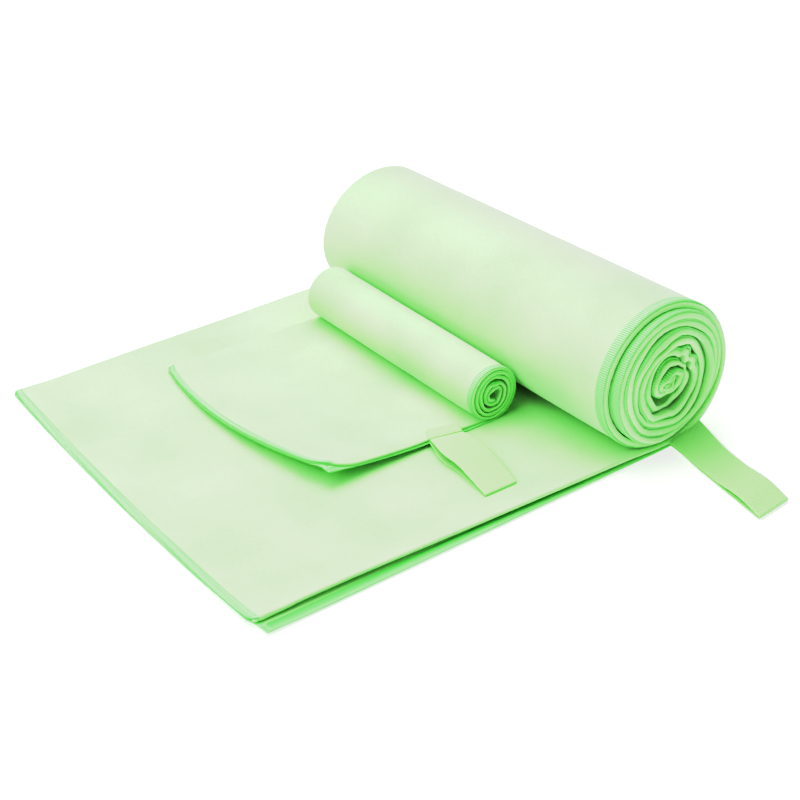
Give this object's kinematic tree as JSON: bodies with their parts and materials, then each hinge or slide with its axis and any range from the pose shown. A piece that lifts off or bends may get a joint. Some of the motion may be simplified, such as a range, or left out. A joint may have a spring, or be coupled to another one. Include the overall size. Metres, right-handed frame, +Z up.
{
  "type": "quick dry towel",
  "caption": "Folded and half-rolled microfibre bath towel with an elastic hook loop, and a small hand towel of the same make lying rolled on top of it.",
  "frame": {"origin": "centre of the set's bounding box, on the surface it lies on", "axes": "+X across the folded strip, towards the side the loops come out of; +Y from the front hems towards the rolls; +Z up"},
  "size_m": [0.3564, 0.318, 0.0843],
  "materials": {
    "cloth": "suede microfibre, brushed, matt with a pale sheen",
    "hem": "overlocked edge, fine cross ridges",
    "elastic": "ribbed flat elastic"
  },
  "bodies": {
    "large_towel": {"large_cloth_flat": "cloth", "large_cloth_roll": "cloth", "large_hem_outer_flat": "hem", "large_hem_inner_flat": "hem", "large_hem_outer_roll": "hem", "large_hem_core": "hem", "large_loop_tab": "elastic", "large_loop_root": "elastic"},
    "large_flap": {"large_cloth_flap": "cloth", "large_hem_front": "hem", "large_hem_outer_flap": "hem", "large_hem_inner_flap": "hem"},
    "large_loop": {"large_loop": "elastic"},
    "small_towel": {"small_cloth_flat": "cloth", "small_cloth_roll": "cloth", "small_hem_outer_flat": "hem", "small_hem_inner_flat": "hem", "small_hem_outer_roll": "hem", "small_hem_core": "hem", "small_loop_tab": "elastic"},
    "small_flap": {"small_cloth_flap": "cloth", "small_hem_front": "hem", "small_hem_outer_flap": "hem", "small_hem_inner_flap": "hem"},
    "small_loop": {"small_loop": "elastic"}
  },
  "joints": [
    {"name": "large_flap_fold", "type": "hinge", "parent": "large_towel", "child": "large_flap", "pos_m": [-0.04334, -0.09725, 0.00205], "axis": [-1, 0, 0], "range_deg": [0, 100]},
    {"name": "large_loop_swing", "type": "hinge", "parent": "large_towel", "child": "large_loop", "pos_m": [0.12266, 0.12008, 0.0025], "axis": [0, -1, 0], "range_deg": [0, 70]},
    {"name": "small_towel_lift", "type": "slide", "parent": "large_towel", "child": "small_towel", "axis": [0, -0.43, 0.9028], "range_m": [0, 0.04]},
    {"name": "small_flap_fold", "type": "hinge", "parent": "small_towel", "child": "small_flap", "pos_m": [-0.06508, -0.00459, 0.0044], "axis": [-0.9998, 0.0175, 0], "range_deg": [0, 80]},
    {"name": "small_loop_swing", "type": "hinge", "parent": "small_towel", "child": "small_loop", "pos_m": [0.01839, 0.02196, 0.0072], "axis": [-0.0175, -0.9998, 0], "range_deg": [0, 120]}
  ]
}
